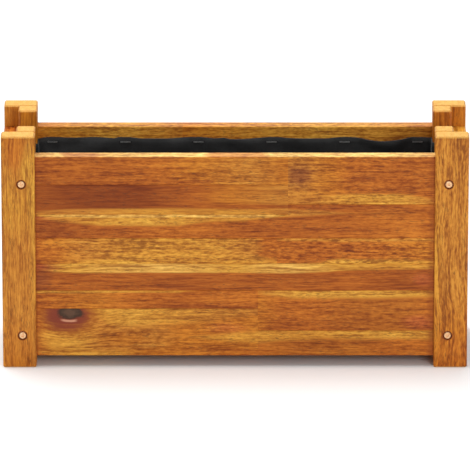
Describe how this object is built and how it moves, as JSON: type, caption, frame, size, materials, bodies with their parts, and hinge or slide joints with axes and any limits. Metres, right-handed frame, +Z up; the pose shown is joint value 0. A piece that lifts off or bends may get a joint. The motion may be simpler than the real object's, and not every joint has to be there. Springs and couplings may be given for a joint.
{
  "type": "raised wooden planter",
  "caption": "Slim rectangular wooden planter box: corner posts of strip and leg, tongue-and-groove stave walls, slatted floor and a cloth liner.",
  "frame": {"origin": "centre of the bounding box at ground level, between the feet of the four posts", "axes": "+X along the planter's length to the picture's right, +Y to the rear, +Z up; the front is at -Y"},
  "size_m": [0.5, 0.137, 0.26],
  "materials": {
    "board_acacia": "oiled satin",
    "post_acacia": "oiled satin",
    "inner_acacia": "bare planed",
    "screw_head_metal": "pale zinc",
    "fastener_steel": "zinc",
    "liner_cloth": "matt felted"
  },
  "bodies": {
    "root": {"cleat_brads": "fastener_steel", "floor_slat_1": "inner_acacia", "floor_slat_2": "inner_acacia", "floor_slat_3": "inner_acacia", "floor_slat_4": "inner_acacia", "floor_slat_5": "inner_acacia", "floor_slat_6": "inner_acacia", "floor_slat_7": "inner_acacia", "floor_slat_8": "inner_acacia", "front_board_1": "board_acacia", "front_board_10": "board_acacia", "front_board_11": "board_acacia", "front_board_12": "board_acacia", "front_board_2": "board_acacia", "front_board_3": "board_acacia", "front_board_4": "board_acacia", "front_board_5": "board_acacia", "front_board_6": "board_acacia", "front_board_7": "board_acacia", "front_board_8": "board_acacia", "front_board_9": "board_acacia", "front_cleat": "inner_acacia", "front_left_leg": "post_acacia", "front_left_strip": "post_acacia", "front_right_leg": "post_acacia", "front_right_strip": "post_acacia", "left_board_1": "board_acacia", "left_board_2": "board_acacia", "left_board_3": "board_acacia", "left_board_4": "board_acacia", "left_board_5": "board_acacia", "left_board_6": "board_acacia", "liner": "liner_cloth", "liner_staples": "fastener_steel", "post_screws": "screw_head_metal", "rear_board_1": "board_acacia", "rear_board_10": "board_acacia", "rear_board_11": "board_acacia", "rear_board_12": "board_acacia", "rear_board_2": "board_acacia", "rear_board_3": "board_acacia", "rear_board_4": "board_acacia", "rear_board_5": "board_acacia", "rear_board_6": "board_acacia", "rear_board_7": "board_acacia", "rear_board_8": "board_acacia", "rear_board_9": "board_acacia", "rear_cleat": "inner_acacia", "rear_left_leg": "post_acacia", "rear_left_strip": "post_acacia", "rear_right_leg": "post_acacia", "rear_right_strip": "post_acacia", "right_board_1": "board_acacia", "right_board_2": "board_acacia", "right_board_3": "board_acacia", "right_board_4": "board_acacia", "right_board_5": "board_acacia", "right_board_6": "board_acacia", "slat_brads": "fastener_steel"}
  },
  "joints": []
}
